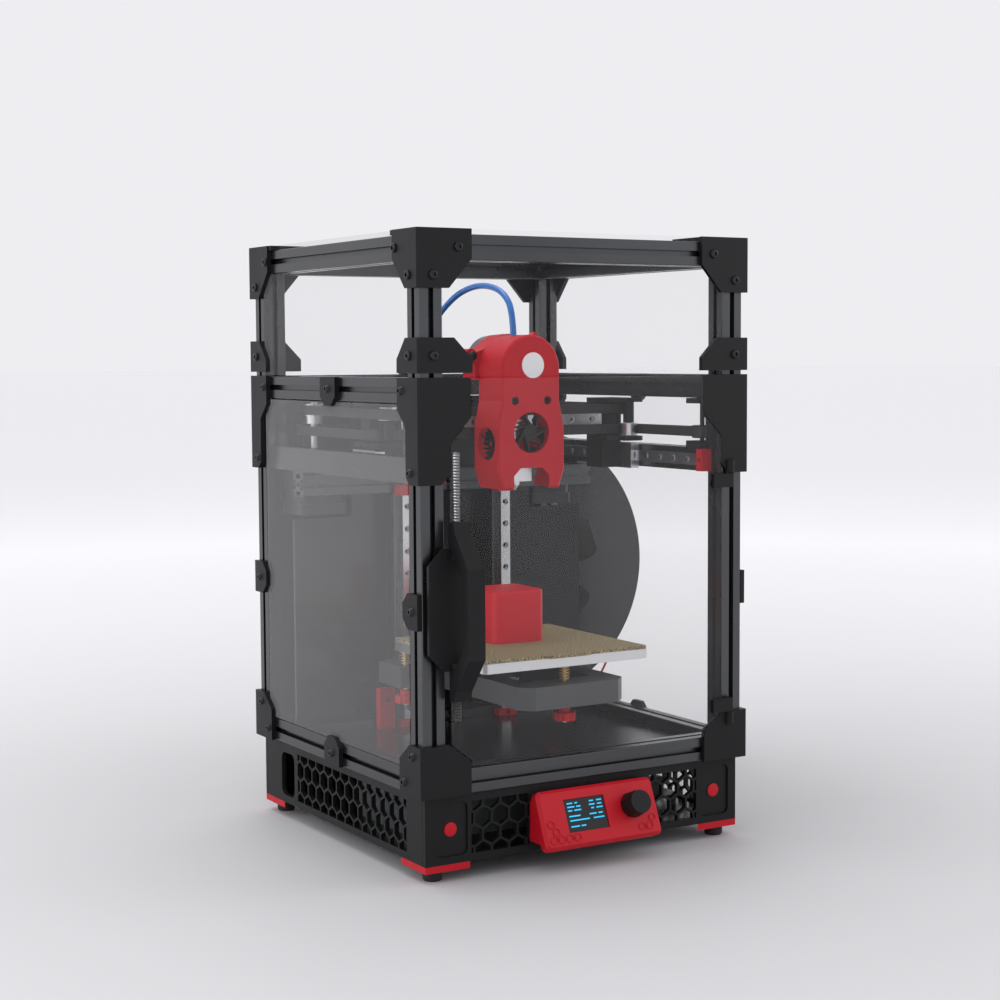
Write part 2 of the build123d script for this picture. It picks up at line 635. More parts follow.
def motor_body(x, y, top, shaft_r):
    """Square stepper motor hanging below the height top."""
    with BuildSketch(xy(top - MOTOR_H, x, y)) as outline:
        RectangleRounded(MOTOR_W, MOTOR_W, 3)
    extrude(outline.sketch, amount=MOTOR_H)
    with BuildSketch(xy(top - MOTOR_H + 7, x, y)) as outline:
        RectangleRounded(MOTOR_W + 1, MOTOR_W + 1, 3)
        RectangleRounded(MOTOR_W - 1, MOTOR_W - 1, 5, mode=Mode.SUBTRACT)
    extrude(outline.sketch, amount=MOTOR_H - 14, mode=Mode.SUBTRACT)
    rod(xy(top + 1, x, y), shaft_r + RUN, -9, mode=Mode.SUBTRACT)


MOTOR_TOP = RAIL_MID_Z - BEAM / 2 - 2.0
with BuildPart() as stepper_motors:
    motor_body(0, SCREW_Y, FRAME_Z - JOIN, SCREW_R)
    for sx in (-1, 1):
        motor_body(sx * MOTOR_X, MOTOR_Y, MOTOR_TOP, 2.5)
keep(stepper_motors, "stepper_motors")

with BuildPart() as leadscrew:
    rod(xy(FRAME_Z - 7, 0, SCREW_Y), SCREW_R, SCREW_TOP - FRAME_Z + 7)
    chamfer(leadscrew.edges().group_by(Axis.Z)[-1], 0.6)
keep(leadscrew, "leadscrew")


# ---------------------------------------------------------------- belts, pulleys and their mounts
LEVELS = {1: LOW_BELT_Z, -1: HIGH_BELT_Z}  # belt height at each side's front idler and motor
BELT_Y = GANTRY_Y - BELT_AHEAD
OUTER_X = BELT_X + 2 * BELT_R
IDLER_X = BELT_X - BELT_R
STACK_GAP = 0.2
FLANGE_T = 0.8


def bearing_stack(x, y, z, bore=0.0):
    """Flanged idler round a belt whose lower edge is at z."""
    low = z - STACK_GAP
    tall = BELT_W + 2 * STACK_GAP
    rod(xy(low, x, y), IDLER_R, tall)
    rod(xy(low, x, y), FLANGE_R, -FLANGE_T)
    rod(xy(low + tall, x, y), FLANGE_R, FLANGE_T)
    if bore:
        rod(xy(low - 2, x, y), bore, tall + 4, mode=Mode.SUBTRACT)


with BuildPart() as belt_mounts:
    rail_top = RAIL_MID_Z + BEAM / 2
    roof = HIGH_BEAM_Z - BEAM / 2
    for sx in (-1, 1):
        level = LEVELS[sx]
        x0, x1 = sorted((sx * (OUTER_X - 2 * FLANGE_R - 1), sx * (HALF - WALL - FIT)))
        w0, w1 = sorted((sx * (OUTER_X + 1.6), sx * (HALF - WALL - FIT)))
        y0, y1 = -INNER + JOIN, FRONT_IDLER_Y + FLANGE_R
        block(x0, x1, y0, y1, rail_top + JOIN, rail_top + 4.5)
        block(x0, x1, y0, y1, roof - 3.4, roof - JOIN)
        block(w0, w1, y0, y1, rail_top + JOIN, roof - JOIN)
        front_x = sx * (BELT_X + BELT_R)
        rod(xy(rail_top + 4, front_x, FRONT_IDLER_Y), 1.5, roof - rail_top - 7)
        bearing_stack(front_x, FRONT_IDLER_Y, level)
        # rear: plate over the motor with the other belt's idler standing on it
        m = MOTOR_W / 2
        p0, p1 = sorted((sx * (MOTOR_X - m), sx * (MOTOR_X + m)))
        block(p0, p1, MOTOR_Y - m, MOTOR_Y + m, MOTOR_TOP + JOIN, MOTOR_TOP + 2.0 - JOIN)
        rod(xy(MOTOR_TOP - 1, sx * MOTOR_X, MOTOR_Y), 4.5, 5, mode=Mode.SUBTRACT)
        other = LEVELS[-sx]
        rod(xy(MOTOR_TOP + 1, sx * IDLER_X, REAR_IDLER_Y), 2.0, other + BELT_W + 2 - MOTOR_TOP)
        bearing_stack(sx * IDLER_X, REAR_IDLER_Y, other)
keep(belt_mounts, "belt_mounts")


def motor_pulley(sx):
    """Motor shaft with its toothed pulley."""
    z = LEVELS[sx]
    x = sx * MOTOR_X
    rod(xy(MOTOR_TOP - 7, x, MOTOR_Y), 2.5, z + BELT_W + 2 - MOTOR_TOP + 7)
    bearing_stack(x, MOTOR_Y, z)
    rod(xy(z - STACK_GAP - FLANGE_T, x, MOTOR_Y), 5.6, -5)


with BuildPart() as right_motor_pulley:
    motor_pulley(1)
keep(right_motor_pulley, "right_motor_pulley")

with BuildPart() as left_motor_pulley:
    motor_pulley(-1)
keep(left_motor_pulley, "left_motor_pulley")

FRONT_JOINT_Y = BELT_Y - BELT_R
REAR_JOINT_Y = BELT_Y + BELT_R

with BuildPart() as right_joint_idler:
    bearing_stack(IDLER_X, FRONT_JOINT_Y, LEVELS[1], bore=1.5 + RUN)
keep(right_joint_idler, "right_joint_idler")

with BuildPart() as left_joint_idler:
    bearing_stack(-IDLER_X, FRONT_JOINT_Y, LEVELS[-1], bore=1.5 + RUN)
keep(left_joint_idler, "left_joint_idler")


def beside(a, b):
    """Straight run that touches two equal rollers on their right-hand side, as a point and a direction."""
    dx, dy = b[0] - a[0], b[1] - a[1]
    length = math.hypot(dx, dy)
    return (a[0] + dy / length * BELT_R, a[1] - dx / length * BELT_R), (dx, dy)


def meet(one, two):
    """Point where two runs cross."""
    (x, y), (ux, uy) = one
    (px, py), (vx, vy) = two
    along = ((px - x) * vy - (py - y) * vx) / (ux * vy - uy * vx)
    return (x + along * ux, y + along * uy)


def belt_route(sx):
    """One belt, clamped at both sides of the toolhead; sx is the side of its motor."""
    front_idler = (BELT_X + BELT_R, FRONT_IDLER_Y)
    motor = (MOTOR_X, MOTOR_Y)
    rear_idler = (-IDLER_X, REAR_IDLER_Y)
    front_run = ((0, FRONT_IDLER_Y - BELT_R), (1, 0))
    outer_run = beside(front_idler, motor)
    rear_run = beside(motor, rear_idler)
    far_run = ((-BELT_X, 0), (0, 1))
    corners = [(BELT_X, BELT_Y), (BELT_X, FRONT_IDLER_Y - BELT_R), meet(front_run, outer_run),
               meet(outer_run, rear_run), meet(rear_run, far_run), (-BELT_X, BELT_Y)]
    ends = [(sx * HEAD_X + CLAMP, BELT_Y), (sx * HEAD_X - CLAMP, BELT_Y)]
    return [(sx * x, y) for x, y in [ends[0]] + corners + [ends[1]]]


with BuildPart() as belts:
    for sx in (-1, 1):
        z = LEVELS[sx] + BELT_W / 2
        with BuildLine(xy(z)) as route:
            FilletPolyline(*belt_route(sx), radius=BELT_R - 0.05)
        with BuildSketch(Plane(origin=route.line @ 0, x_dir=(0, 0, 1), z_dir=route.line % 0)):
            Rectangle(BELT_W, BELT_T)
        sweep(path=route.line)
keep(belts, "belts")


# ---------------------------------------------------------------- gantry
JOINT_FRONT = FRONT_JOINT_Y - FLANGE_R - 0.5
JOINT_BACK = GANTRY_Y + BEAM / 2 + 1
with BuildPart() as xy_joints:
    carriage_face = INNER - CARRIAGE_H
    floor_z = LOW_BELT_Z - STACK_GAP - FLANGE_T - 0.6
    roof_z = HIGH_BELT_Z + BELT_W + STACK_GAP + FLANGE_T + 0.3
    for sx in (-1, 1):
        near, far = sx * JOINT_IN, sx * JOINT_OUT
        narrow = sx * (IDLER_X - FLANGE_R - 0.2)
        plate = [(near, JOINT_BACK), (far, JOINT_BACK), (far, JOINT_FRONT + 3), (far - sx * 3, JOINT_FRONT),
                 (narrow + sx * 2, JOINT_FRONT), (narrow, JOINT_FRONT + 2), (narrow, BELT_Y - 2), (near, BELT_Y + 2)]
        prism(xy(floor_z - 3.0), plate, 3.0)
        prism(xy(roof_z), plate, 2.6)
        x0, x1 = sorted((near, sx * (carriage_face - JOIN)))
        block(x0, x1, REAR_JOINT_Y + FLANGE_R + 0.4 - 5, JOINT_BACK,
              RAIL_MID_Z - CARRIAGE_W / 2 + 0.4, floor_z)
        x0, x1 = sorted((near, sx * (BELT_X - 2)))
        block(x0, x1, REAR_JOINT_Y + FLANGE_R + 0.4, JOINT_BACK, floor_z - 1, roof_z + 1)
        for y in (FRONT_JOINT_Y, REAR_JOINT_Y):
            rod(xy(floor_z - 1, sx * IDLER_X, y), 1.5, roof_z - floor_z + 2)
        bearing_stack(sx * IDLER_X, REAR_JOINT_Y, LEVELS[-sx])
        # sleeve that fills the front axle's unused level
        z0, z1 = (LEVELS[1] + BELT_W + 1.3, roof_z) if sx > 0 else (floor_z, LEVELS[-1] - 1.3)
        rod(xy(z0, sx * IDLER_X, FRONT_JOINT_Y), 3.6, z1 - z0)
keep(xy_joints, "xy_joints")

with BuildPart() as x_beam:
    beam_along_x(GANTRY_Y, XBEAM_Z, JOINT_IN)
keep(x_beam, "x_beam")

with BuildPart() as x_rail:
    rail_on(sideways(xz(GANTRY_Y - BEAM / 2, 0, XBEAM_Z)), 2 * JOINT_IN - 4)
keep(x_rail, "x_rail")


def carriage(plane):
    """Rail carriage; its mounting face looks along the plane's normal, its length along the plane's Y."""
    with BuildSketch(plane.offset(1.5)) as outline:
        RectangleRounded(CARRIAGE_W, CARRIAGE_L, 0.8)
    extrude(outline.sketch, amount=CARRIAGE_H - 1.5)
    with BuildSketch(plane) as outline:
        Rectangle(RAIL_W + 2 * RUN, CARRIAGE_L + 2)
    extrude(outline.sketch, amount=RAIL_T + RUN, mode=Mode.SUBTRACT)
    with BuildSketch(plane.offset(CARRIAGE_H)) as outline:
        with GridLocations(12, 13, 2, 2):
            Circle(1.0)
    extrude(outline.sketch, amount=-1.8, mode=Mode.SUBTRACT)


Y_CARRIAGE_Y = GANTRY_Y - 6.5
with BuildPart() as y_carriages:
    for sx in (-1, 1):
        carriage(Plane(origin=(CX + sx * INNER, CY + Y_CARRIAGE_Y, RAIL_MID_Z), x_dir=(0, 0, sx), z_dir=(-sx, 0, 0)))
keep(y_carriages, "y_carriages")


# ---------------------------------------------------------------- toolhead
HEAD_BACK = GANTRY_Y - BEAM / 2 - CARRIAGE_H  # the carriage's face
COWL_BACK = HEAD_BACK - 9.0
COWL_FRONT = COWL_BACK - HEAD_D
FIL_X = HEAD_X + FIL_SIDE
FIL_Y = HEAD_BACK - FIL_BACK
GEAR_R = 5.0
GEAR_X = FIL_X + GEAR_R + 1
BLOWER_Y = COWL_FRONT + HEAD_D / 2

with BuildPart() as x_carriage:
    carriage(sideways(xz(GANTRY_Y - BEAM / 2, HEAD_X, XBEAM_Z)))
keep(x_carriage, "x_carriage")


def cowl_outline(inset):
    """Front view of the toolhead's cowl, drawn a wall's thickness inside itself for the hollow."""
    wide = HEAD_HALF - inset
    neck = NECK_HALF - inset
    foot = HEAD_Z - (1 if inset else 0)
    crown = HEAD_TOP - 2 - inset
    with BuildLine() as rim:
        Polyline((-neck, EXTRUDER_Z), (-neck, SHOULDER_Z + 17), (-wide, SHOULDER_Z), (-wide, HEAD_Z + 12),
                 (-wide + 4, foot), (wide - 4, foot), (wide, HEAD_Z + 12), (wide, SHOULDER_Z),
                 (neck, SHOULDER_Z + 17), (neck, EXTRUDER_Z))
        ThreePointArc((neck, EXTRUDER_Z), (0, crown), (-neck, EXTRUDER_Z))
    make_face(rim.edges())


with BuildPart() as toolhead_cowl:
    with BuildSketch(xz(COWL_BACK, HEAD_X)):
        cowl_outline(0)
    extrude(amount=HEAD_D)
    front_rim = toolhead_cowl.faces().sort_by(Axis.Y)[0].edges()
    chamfer(front_rim, 1.2)
    with BuildSketch(xz(COWL_BACK + 1, HEAD_X)):
        cowl_outline(COWL_WALL)
    extrude(amount=HEAD_D + 1 - COWL_WALL, mode=Mode.SUBTRACT)
    # fan ring with the cross bar and pin that carry the fan
    ring_back = COWL_FRONT + COWL_WALL + 7
    rod(xz(ring_back, HEAD_X, FAN_Z), FAN_R + 1.6, 7.1)
    rod(xz(ring_back + 1, HEAD_X, FAN_Z), FAN_R, HEAD_D, mode=Mode.SUBTRACT)
    block(HEAD_X - FAN_R - 0.5, HEAD_X + FAN_R + 0.5, ring_back - 1.6, ring_back, FAN_Z - 1.5, FAN_Z + 1.5)
    rod(xz(ring_back - 1, HEAD_X, FAN_Z), 1.5, 4.5)
    # screw holes above the fan, air holes in both cheeks, arch over the nozzle
    for dx in (-11.8, 11.8):
        rod(xz(COWL_FRONT + 3, HEAD_X + dx, FAN_Z + 20), 2.7, 5, mode=Mode.SUBTRACT)
    rod(yz(HEAD_X - HEAD_HALF - 1, BLOWER_Y, BLOWER_Z), BLOWER_R, 2 * HEAD_HALF + 2, mode=Mode.SUBTRACT)
    arch = [(-13, HEAD_Z - 1), (-13, HEAD_Z + 8), (-8, HEAD_Z + 13),
            (8, HEAD_Z + 13), (13, HEAD_Z + 8), (13, HEAD_Z - 1)]
    prism(xz(COWL_BACK + 1, HEAD_X), arch, HEAD_D + 2, mode=Mode.SUBTRACT)
    rod(xy(HEAD_TOP - 12, FIL_X, FIL_Y), TUBE_R + 0.7, 14, mode=Mode.SUBTRACT)
keep(toolhead_cowl, "toolhead_cowl")

LEVER_PIVOT = (17.5, EXTRUDER_Z - 2)

with BuildPart() as toolhead_body:
    # plate on the carriage, slotted for the two belts' ends
    plate_front = COWL_BACK + JOIN
    block(HEAD_X - 15, HEAD_X + 15, plate_front, HEAD_BACK - JOIN, XBEAM_Z - 22, EXTRUDER_Z - 8)
    for z in LEVELS.values():
        slot_y = BELT_Y - BELT_T / 2 - 0.35
        block(HEAD_X - 16, HEAD_X + 16, slot_y, slot_y + BELT_T + 0.7, z - 0.4, z + BELT_W + 0.4,
              mode=Mode.SUBTRACT)
    # extruder housing above the cross beam
    house = [(-24, 292), (14, 292), (14, 312), (11, 318), (5, 321), (-5, 320), (-18, 311), (-24, 309)]
    prism(xz(HEAD_BACK + 6, HEAD_X), house, HEAD_BACK + 6 - plate_front)
    block(HEAD_X + 13, HEAD_X + 21, HEAD_BACK + 3, HEAD_BACK + 6, 292, 304)
    rod(xz(HEAD_BACK + 4, HEAD_X + LEVER_PIVOT[0], LEVER_PIVOT[1]), 1.5, 11)
    rod(xz(HEAD_BACK + 2, HEAD_X - 26, 307), 4.5, 10)
    # housing of the drive gear, inside the cowl
    block(HEAD_X - 15, HEAD_X + 15, FIL_Y - 7, COWL_BACK + 1, EXTRUDER_Z - 14, EXTRUDER_Z + 6)
    rod(xz(HEAD_BACK + 7, GEAR_X, EXTRUDER_Z), 2.5 + RUN, 40, mode=Mode.SUBTRACT)
    rod(xz(FIL_Y + 5.3, GEAR_X, EXTRUDER_Z), GEAR_R + 0.6, 13, mode=Mode.SUBTRACT)
    rod(xy(EXTRUDER_Z - 15, FIL_X, FIL_Y), STRAND_R + 0.3, 30, mode=Mode.SUBTRACT)
    # arms and pins for the two blowers
    for sx in (-1, 1):
        a0, a1 = sorted((HEAD_X + sx * 12.2, HEAD_X + sx * 13.6))
        block(a0, a1, BLOWER_Y - 2.5, COWL_BACK + 1, BLOWER_Z - 3, BLOWER_Z + 3)
        rod(yz(HEAD_X + sx * 13, BLOWER_Y, BLOWER_Z), 1.5, sx * 8)
keep(toolhead_body, "toolhead_body")

with BuildPart() as hotend:
    top = EXTRUDER_Z - 14 - JOIN
    rod(xy(top, FIL_X, FIL_Y), 3.2, -(top - HEAD_Z - 12))
    for step in range(8):
        rod(xy(top - 5 - step * 2.8, FIL_X, FIL_Y), 6.4, -1.3)
    block(FIL_X - 6, FIL_X + 9, FIL_Y - 6, FIL_Y + 6, HEAD_Z + 4, HEAD_Z + 13)
    with BuildSketch(xy(HEAD_Z + 4.05, FIL_X, FIL_Y)):
        RegularPolygon(3.4, 6)
    extrude(amount=-2.4)
    with BuildSketch(xy(HEAD_Z + 1.7, FIL_X, FIL_Y)):
        Circle(2.6)
    extrude(amount=-(HEAD_Z + 1.7 - NOZZLE_Z), taper=32)
keep(hotend, "hotend")

with BuildPart() as extruder_motor:
    rod(xz(HEAD_BACK + 19, GEAR_X, EXTRUDER_Z + 2), PANCAKE_R, 19 - 6 - JOIN)
    chamfer(extruder_motor.edges(), 0.8)
    rod(xz(HEAD_BACK + 15, GEAR_X, EXTRUDER_Z), 2.5 + RUN, 12, mode=Mode.SUBTRACT)
keep(extruder_motor, "extruder_motor")

with BuildPart() as extruder_gear:
    rod(xz(HEAD_BACK + 14, GEAR_X, EXTRUDER_Z), 2.5, HEAD_BACK + 14 - FIL_Y + 5)
    with BuildSketch(xz(FIL_Y + 4.6, GEAR_X, EXTRUDER_Z)):
        Circle(GEAR_R - 0.4)
        with PolarLocations(GEAR_R - 0.4, 24):
            Rectangle(0.8, 0.6)
    extrude(amount=9.6)
keep(extruder_gear, "extruder_gear")

with BuildPart() as extruder_lever:
    outline = [(15, 294), (20.5, 294), (21, 312), (24, 321.5), (22, 322), (15.5, 317), (14.6, 312)]
    prism(xz(HEAD_BACK - 2, HEAD_X), outline, 5)
    rod(xz(HEAD_BACK - 1, HEAD_X + LEVER_PIVOT[0], LEVER_PIVOT[1]), 1.5 + RUN, 8, mode=Mode.SUBTRACT)
keep(extruder_lever, "extruder_lever")

with BuildPart() as fan_rotor:
    with BuildSketch(xz(COWL_FRONT + 6.3, HEAD_X, FAN_Z)):
        Circle(5.2)
        with PolarLocations(8, 7):
            Rectangle(8.4, 1.0, rotation=28)
        Circle(FAN_R - 0.7, mode=Mode.INTERSECT)
    extrude(amount=5.0)
    rod(xz(COWL_FRONT + 7.3, HEAD_X, FAN_Z), 1.5 + RUN, 4.0, mode=Mode.SUBTRACT)
keep(fan_rotor, "fan_rotor")

with BuildPart() as blower_rotors:
    for sx in (-1, 1):
        with BuildSketch(yz(HEAD_X + sx * 14.2, BLOWER_Y, BLOWER_Z)):
            Circle(BLOWER_R - 0.7)
            Circle(1.5 + RUN, mode=Mode.SUBTRACT)
        extrude(amount=sx * 1.0)
        with BuildSketch(yz(HEAD_X + sx * 15.1, BLOWER_Y, BLOWER_Z)):
            with PolarLocations(BLOWER_R - 2.4, 16):
                Rectangle(3.2, 0.7, rotation=30)
            Circle(3.0)
            Circle(1.5 + RUN, mode=Mode.SUBTRACT)
        extrude(amount=sx * 6.4)
keep(blower_rotors, "blower_rotors")


# ---------------------------------------------------------------- bed
BED_BACK = BED_FRONT + BED_D
BED_UNDER = BED_TOP - SHEET_T - BED_T
FRAME_UNDER = BED_FRAME_TOP - BED_FRAME_T
RAIL_FACE = UPRIGHT_Y - BEAM / 2
CARRIAGE_FACE = RAIL_FACE - CARRIAGE_H
BAR_FRONT = -102.0
SPRINGS_AT = [(0.0, BED_FRONT + 5), (-55.0, 19.0), (55.0, 19.0)]

with BuildPart() as bed_frame:
    back_bar = CARRIAGE_FACE - JOIN
    c = 8.0
    bar = [(-38, BAR_FRONT + c), (-38 + c, BAR_FRONT), (38 - c, BAR_FRONT), (38, BAR_FRONT + c),
           (38, BAR_FRONT + 22), (-38, BAR_FRONT + 22)]
    prism(xy(FRAME_UNDER), bar, BED_FRAME_T)
    for sx in (-1, 1):
        x0, x1 = sorted((sx * 24, sx * 38))
        block(x0, x1, BAR_FRONT + 22 + JOIN, 12 - JOIN, FRAME_UNDER, BED_FRAME_TOP)
    block(-62, 62, 12, back_bar, FRAME_UNDER, BED_FRAME_TOP)
    # arm with the screw's nut
    block(-9, 9, back_bar - 1, SCREW_Y + 7, FRAME_UNDER, BED_FRAME_TOP)
    rod(xy(FRAME_UNDER - 1, 0, SCREW_Y), SCREW_R + RUN, BED_FRAME_T + 2, mode=Mode.SUBTRACT)
    # the bar's middle is open, so the frame stays light
    block(-20, 20, 17, 36, FRAME_UNDER - 1, BED_FRAME_TOP + 1, mode=Mode.SUBTRACT)
    for x, y in SPRINGS_AT:
        rod(xy(FRAME_UNDER - 1, x, y), 1.7, BED_FRAME_T + 2, mode=Mode.SUBTRACT)
keep(bed_frame, "bed_frame")

with BuildPart() as bed_plate:
    block(-BED_W / 2, BED_W / 2, BED_FRONT, BED_BACK, BED_UNDER, BED_UNDER + BED_T)
    chamfer(bed_plate.edges().filter_by(Axis.Z), 2.0)
    for x, y in SPRINGS_AT:
        rod(xy(BED_UNDER - 1, x, y), 1.5, BED_T - 0.5, mode=Mode.SUBTRACT)
keep(bed_plate, "bed_plate")

with BuildPart() as print_sheet:
    under = BED_UNDER + BED_T + JOIN
    edge = 0.6
    w = BED_W / 2 - edge
    y0, y1 = BED_FRONT + edge, BED_BACK - edge
    shape = [(-w, y0), (-18, y0), (-14, y0 - 3), (14, y0 - 3), (18, y0), (w, y0), (w, y1), (-w, y1)]
    prism(xy(under), shape, SHEET_T - JOIN)
    chamfer(print_sheet.edges().filter_by(Axis.Z), 1.2)
keep(print_sheet, "print_sheet")

SPRING_H = BED_UNDER - BED_FRAME_TOP
with BuildPart() as bed_springs:
    for x, y in SPRINGS_AT:
        with BuildLine(Plane(origin=(CX + x, CY + y, BED_FRAME_TOP + 0.5))) as coil_line:
            Helix(pitch=1.7, height=SPRING_H - 1.0, radius=2.8)
        with BuildSketch(Plane(origin=coil_line.line @ 0, z_dir=coil_line.line % 0)):
            Circle(0.4)
        sweep(path=coil_line.line, is_frenet=True)
        rod(xy(BED_UNDER + BED_T - 2, x, y), 1.4, -(BED_UNDER + BED_T - 2 - FRAME_UNDER + 12))
keep(bed_springs, "bed_springs")


def thumb_nut(x, y):
    """Knurled nut under the bed's frame."""
    low = FRAME_UNDER - 10.5
    with BuildSketch(xy(low, x, y)) as outline:
        Circle(7)
        with PolarLocations(7.6, 8):
            Circle(1.6, mode=Mode.SUBTRACT)
    extrude(outline.sketch, amount=5)
    rod(xy(low + 5, x, y), 3.4, 3.5)
    rod(xy(low - 1, x, y), 1.4 + RUN, 12, mode=Mode.SUBTRACT)


with BuildPart() as thumb_nut_front:
    thumb_nut(*SPRINGS_AT[0])
keep(thumb_nut_front, "thumb_nut_front")

with BuildPart() as thumb_nut_left:
    thumb_nut(*SPRINGS_AT[1])
keep(thumb_nut_left, "thumb_nut_left")

with BuildPart() as thumb_nut_right:
    thumb_nut(*SPRINGS_AT[2])
keep(thumb_nut_right, "thumb_nut_right")

with BuildPart() as z_carriages:
    for sx in (-1, 1):
        carriage(xz(RAIL_FACE, sx * UPRIGHT_X, (FRAME_UNDER + BED_FRAME_TOP) / 2))
keep(z_carriages, "z_carriages")

with BuildPart() as printed_cube:
    cube_x = -20.0
    cube_y = -38.0
    block(cube_x, cube_x + CUBE_W, cube_y, cube_y + CUBE_W, BED_TOP + JOIN, BED_TOP + CUBE_H)
    fillet(printed_cube.edges().filter_by(Axis.Z), 5.0)
    fillet(printed_cube.edges().group_by(Axis.Z)[-1], 2.0)
keep(printed_cube, "printed_cube")


# ---------------------------------------------------------------- top hat
HAT_LOW = TOP_Z + HAT_GAP
with BuildPart() as hat_frame:
    for sx in (-1, 1):
        for sy in (-1, 1):
            beam(xy(TOP_Z + JOIN, sx * POST, sy * POST), HAT_TOP - WALL - TOP_Z - 2 * JOIN)
        beam_along_y(sx * POST, HAT_BEAM_Z, INNER)
        beam_along_x(sx * POST, HAT_BEAM_Z, INNER)
keep(hat_frame, "hat_frame")

HAT_TOP_END = [(0, HAT_TOP), (36, HAT_TOP), (36, HAT_TOP - 17), (21, HAT_TOP - 34), (0, HAT_TOP - 34)]
HAT_TOP_SIDE = [(0, HAT_TOP), (30, HAT_TOP), (30, HAT_TOP - 17), (15, HAT_TOP - 34), (0, HAT_TOP - 34)]
HAT_LOW_END = [(0, HAT_LOW), (36, HAT_LOW), (36, HAT_LOW + 8), (24, HAT_LOW + 20.3), (0, HAT_LOW + 20.3)]
HAT_LOW_SIDE = [(0, HAT_LOW), (25.5, HAT_LOW), (25.5, HAT_LOW + 8), (15, HAT_LOW + 20.3), (0, HAT_LOW + 20.3)]
HAT_LID = 34.0  # how far the corner covers reach over the top

with BuildPart() as hat_covers:
    for sx in (-1, 1):
        for sy in (-1, 1):
            corner_cover(sx, sy, HAT_TOP_END, HAT_TOP_SIDE)
            corner_cover(sx, sy, HAT_LOW_END, HAT_LOW_SIDE)
            x0, x1 = sorted((sx * (FACE - HAT_LID), sx * (FACE - 1)))
            y0, y1 = sorted((sy * (FACE - HAT_LID), sy * (FACE - 1)))
            block(x0, x1, y0, y1, HAT_TOP - WALL, HAT_TOP)
    break_corner(hat_covers)
    for sx in (-1, 1):
        for sy in (-1, 1):
            screw_holes(HAT_TOP_SCREWS + HAT_LOW_SCREWS, side_plane, sx, sy)
keep(hat_covers, "hat_covers")

with BuildPart() as hat_panels:
    reach = INNER - FIT
    low, high = TOP_Z + FIT, HAT_BEAM_Z - BEAM / 2 - FIT
    for s in (-1, 1):
        a0, a1 = sorted((s * (HALF - WALL), s * HALF))
        block(a0, a1, -reach, reach, low, high)
        block(-reach, reach, a0, a1, low, high)
    lid = HALF - 1
    inset = FACE - HAT_LID - PRINT_GAP - FIT
    block(-lid, lid, -inset, inset, HAT_TOP - WALL, HAT_TOP)
    block(-inset, inset, -lid, lid, HAT_TOP - WALL, HAT_TOP)
keep(hat_panels, "hat_panels")


# ---------------------------------------------------------------- door
DOOR_Y = -HALF - DOOR_GAP  # back of the pane
DOOR_FACE = DOOR_Y - DOOR_T
with BuildPart() as door_panel:
    wide, high_in, low_in = 96.4, 82.7, 83.7
    low, high = FRAME_Z + 16.6, TOP_Z - 0.6
    right = [(low_in, low), (low_in, FRAME_Z + 20.4), (wide, FRAME_Z + 30),
             (wide, TOP_Z - 38), (high_in, TOP_Z - 24), (high_in, high)]
    left = [(-x, z) for x, z in reversed(right)]
    prism(xz(DOOR_Y), right + left, DOOR_T)
keep(door_panel, "door_panel")

with BuildPart() as door_handle:
    y = DOOR_FACE - JOIN
    tip = -HANDLE_REACH
    grip = [(y, HANDLE_TOP), (y - 5.5, HANDLE_TOP), (y - 7, HANDLE_TOP - 6), (tip, HANDLE_TOP - 26),
            (tip, HANDLE_LOW + 26), (y - 7, HANDLE_LOW + 6), (y - 5.5, HANDLE_LOW), (y, HANDLE_LOW)]
    gap = [(y - 2.6, HANDLE_TOP - 22), (y - 5, HANDLE_TOP - 18), (tip + 7, HANDLE_TOP - 32),
           (tip + 7, HANDLE_LOW + 32), (y - 5, HANDLE_LOW + 18), (y - 2.6, HANDLE_LOW + 22)]
    prism(yz(-99), grip, 11)
    prism(yz(-100), gap, 13, mode=Mode.SUBTRACT)
    keeper = [(-97, 126), (-97, 197), (-104, 197), (-113.5, 187), (-113.5, 136), (-104, 126)]
    prism(xz(y), keeper, 2.6)
keep(door_handle, "door_handle")

with BuildPart() as door_hinges:
    high_end = TOP_Z - COVER_DROP - HINGE_GAP
    low_end = FRAME_Z + COVER_RISE + HINGE_GAP
    for z0, z1 in ((high_end - HINGE_H, high_end), (low_end, low_end + HINGE_H)):
        block(HINGE_X - HINGE_W, HINGE_X, DOOR_FACE - 3, DOOR_FACE - JOIN, z0, z1)
        rod(xy(z0, HINGE_X, HINGE_Y), HINGE_R, z1 - z0)
    rod(xy(TOP_Z - COVER_DROP - 3, HINGE_X, HINGE_Y), PIN_R, 8)
    rod(xy(FRAME_Z + COVER_RISE + 3, HINGE_X, HINGE_Y), PIN_R, -8)
keep(door_hinges, "door_hinges")


# ---------------------------------------------------------------- filament
with BuildPart() as spool_holder:
    block(INNER + 0.5, HALF - 0.5, HALF + JOIN, HALF + 4, SPOOL_Z - 34, SPOOL_Z + 34)
    rod(xz(HALF + 8, POST, SPOOL_Z), 31, 4.5)
    rod(xz(SPOOL_END, POST, SPOOL_Z), SPOOL_BORE_R - RUN, SPOOL_END - HALF - 6)
    rod(xz(SPOOL_END + 1, POST, SPOOL_Z), SPOOL_BORE_R - 4, SPOOL_END - HALF - 8, mode=Mode.SUBTRACT)
    lip_y = SPOOL_Y + SPOOL_W + 1
    block(POST - 8, POST + 8, lip_y, SPOOL_END, SPOOL_Z + SPOOL_BORE_R - 3, SPOOL_Z + SPOOL_BORE_R + 4)
keep(spool_holder, "spool_holder")

